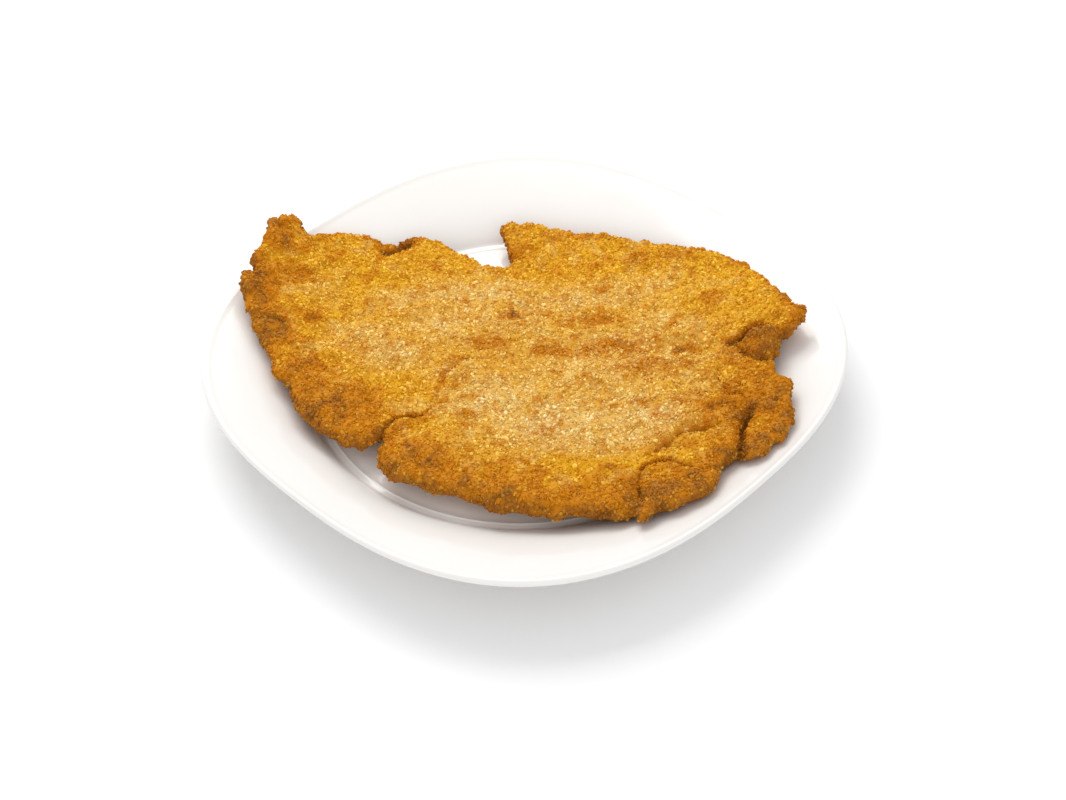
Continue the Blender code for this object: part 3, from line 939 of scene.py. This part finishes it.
def soft_light(name, power, place, width, tint):
    lamp = bpy.data.lights.new(name, "AREA")
    lamp.shape = "RECTANGLE"
    lamp.size, lamp.size_y = width
    lamp.energy = power
    lamp.color = tint
    made = bpy.data.objects.new(name, lamp)
    made.location = place
    made.rotation_euler = (Vector(LIT_PLACE) - Vector(place)).to_track_quat("-Z", "Y").to_euler()
    bpy.context.scene.collection.objects.link(made)


class SCHNITZEL_OT_studio(Operator):
    """Lay the pale floor, hang the lights and set up the camera"""

    bl_idname = "schnitzel.studio"
    bl_label = "Studio"

    def execute(self, context):
        scene = context.scene
        studio = scene.schnitzel_studio
        scene.view_settings.view_transform = "Standard"
        half = studio.table_half
        mesh = bpy.data.meshes.new("table")
        corners = [(-half, -half, 0), (half, -half, 0), (half, half, 0), (-half, half, 0)]
        mesh.from_pydata(corners, [], [(0, 1, 2, 3)])
        nodes = Nodes("table_white")
        tone = nodes.ramp(nodes.noise(TABLE_CLOUD), 0.3, 0.7)
        base = nodes.mix(tone, tuple(studio.floor), dimmed(studio.floor, 0.99))
        link("table", mesh, nodes.finish(Base_Color=base, Roughness=0.6))

        world = bpy.data.worlds.new("white_room")
        world.use_nodes = True
        sky = world.node_tree.nodes["Background"]
        sky.inputs["Color"].default_value = ROOM_WHITE
        sky.inputs["Strength"].default_value = studio.ambient
        scene.world = world
        soft_light("fill_light", studio.fill_power, *FILL_LIGHT)
        soft_light("key_light", studio.key_power, *KEY_LIGHT)

        aim = Vector((AIM_ACROSS * PLATE_CORNER, AIM_FORWARD * PLATE_CORNER, RIM_HEIGHT))
        tilt = studio.elevation
        away = Vector((0.0, -math.cos(tilt), math.sin(tilt))) * studio.distance
        lens = bpy.data.cameras.new("camera")
        lens.lens = studio.lens
        lens.sensor_width = SENSOR_WIDTH
        lens.clip_start = CLIP_START
        camera = bpy.data.objects.new("camera", lens)
        look = Matrix.Rotation(math.pi / 2 - tilt, 4, "X") @ Matrix.Rotation(studio.roll, 4, "Z")
        camera.matrix_world = Matrix.Translation(aim + away) @ look
        scene.collection.objects.link(camera)
        scene.camera = camera
        return {"FINISHED"}


# --- panel and registration ------------------------------------------------------------------


class SCHNITZEL_PT_steps(Panel):
    """Buttons for the steps, in the order in which they are run"""

    bl_label = "Schnitzel on a plate"
    bl_space_type = "VIEW_3D"
    bl_region_type = "UI"
    bl_category = "Schnitzel"

    def draw(self, context):
        scene = context.scene
        for operator, settings in (
            (SCHNITZEL_OT_studio, scene.schnitzel_studio),
            (SCHNITZEL_OT_plate, scene.schnitzel_plate),
            (SCHNITZEL_OT_crust, scene.schnitzel_crust),
            (SCHNITZEL_OT_crumbs, scene.schnitzel_crumbs),
        ):
            box = self.layout.box()
            box.operator(operator.bl_idname)
            for name in settings.__annotations__:
                box.prop(settings, name)


SETTINGS = (
    ("schnitzel_plate", PlateSettings),
    ("schnitzel_crust", CrustSettings),
    ("schnitzel_crumbs", CrumbSettings),
    ("schnitzel_studio", StudioSettings),
)
OPERATORS = (SCHNITZEL_OT_studio, SCHNITZEL_OT_plate, SCHNITZEL_OT_crust, SCHNITZEL_OT_crumbs)


def register():
    for name, settings in SETTINGS:
        bpy.utils.register_class(settings)
        setattr(bpy.types.Scene, name, PointerProperty(type=settings))
    for operator in OPERATORS:
        bpy.utils.register_class(operator)
    bpy.utils.register_class(SCHNITZEL_PT_steps)


def unregister():
    bpy.utils.unregister_class(SCHNITZEL_PT_steps)
    for operator in reversed(OPERATORS):
        bpy.utils.unregister_class(operator)
    for name, settings in reversed(SETTINGS):
        delattr(bpy.types.Scene, name)
        bpy.utils.unregister_class(settings)


def main():
    register()
    bpy.ops.schnitzel.studio()
    bpy.ops.schnitzel.plate()
    bpy.ops.schnitzel.crust()
    bpy.ops.schnitzel.crumbs()


if __name__ == "__main__":
    main()
